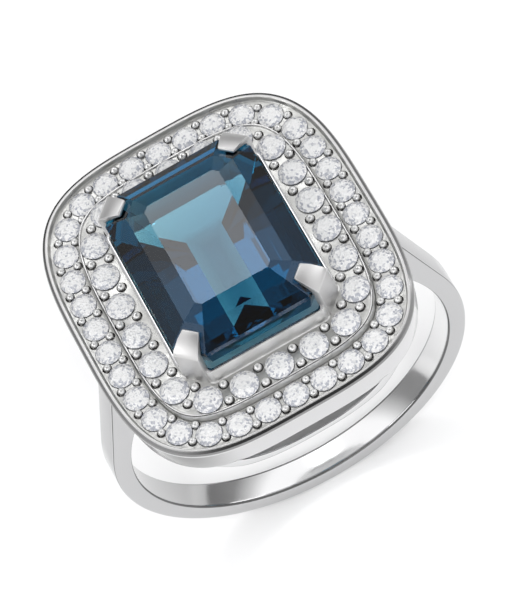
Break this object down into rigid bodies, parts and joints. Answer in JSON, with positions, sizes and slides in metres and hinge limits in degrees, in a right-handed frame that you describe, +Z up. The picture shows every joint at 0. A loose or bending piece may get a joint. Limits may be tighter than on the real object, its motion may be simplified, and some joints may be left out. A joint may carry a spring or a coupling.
{
  "type": "cocktail ring",
  "caption": "Finger ring with a large rectangular cut-corner blue stone in corner claws over a raised two-tier cushion halo of small clear stones, on a plain tapering band.",
  "frame": {"origin": "centre of the finger hole, midway across the band's width", "axes": "+Z up from the finger through the head and out of the centre stone's table; +Y along the finger; +X across the finger"},
  "size_m": [0.0192, 0.0176, 0.0247],
  "materials": {
    "silver": "bright rhodium-plated silver polish, with fine hairline wear",
    "blue_stone": "transparent deep teal blue, polished flat facets",
    "clear_stone": "colourless, brilliant cut, polished facets"
  },
  "bodies": {
    "root": {"shank": "silver", "halo_tray": "silver", "claw_tier": "silver", "centre_stone": "blue_stone", "outer_stone_01": "clear_stone", "outer_stone_02": "clear_stone", "outer_stone_03": "clear_stone", "outer_stone_04": "clear_stone", "outer_stone_05": "clear_stone", "outer_stone_06": "clear_stone", "outer_stone_07": "clear_stone", "outer_stone_08": "clear_stone", "outer_stone_09": "clear_stone", "outer_stone_10": "clear_stone", "outer_stone_11": "clear_stone", "outer_stone_12": "clear_stone", "outer_stone_13": "clear_stone", "outer_stone_14": "clear_stone", "outer_stone_15": "clear_stone", "outer_stone_16": "clear_stone", "outer_stone_17": "clear_stone", "outer_stone_18": "clear_stone", "outer_stone_19": "clear_stone", "outer_stone_20": "clear_stone", "outer_stone_21": "clear_stone", "outer_stone_22": "clear_stone", "outer_stone_23": "clear_stone", "outer_stone_24": "clear_stone", "outer_stone_25": "clear_stone", "outer_stone_26": "clear_stone", "outer_stone_27": "clear_stone", "outer_stone_28": "clear_stone", "outer_stone_29": "clear_stone", "outer_stone_30": "clear_stone", "outer_stone_31": "clear_stone", "outer_stone_32": "clear_stone", "outer_stone_33": "clear_stone", "outer_stone_34": "clear_stone", "inner_stone_01": "clear_stone", "inner_stone_02": "clear_stone", "inner_stone_03": "clear_stone", "inner_stone_04": "clear_stone", "inner_stone_05": "clear_stone", "inner_stone_06": "clear_stone", "inner_stone_07": "clear_stone", "inner_stone_08": "clear_stone", "inner_stone_09": "clear_stone", "inner_stone_10": "clear_stone", "inner_stone_11": "clear_stone", "inner_stone_12": "clear_stone", "inner_stone_13": "clear_stone", "inner_stone_14": "clear_stone", "inner_stone_15": "clear_stone", "inner_stone_16": "clear_stone", "inner_stone_17": "clear_stone", "inner_stone_18": "clear_stone", "inner_stone_19": "clear_stone", "inner_stone_20": "clear_stone", "inner_stone_21": "clear_stone", "inner_stone_22": "clear_stone"}
  },
  "joints": []
}
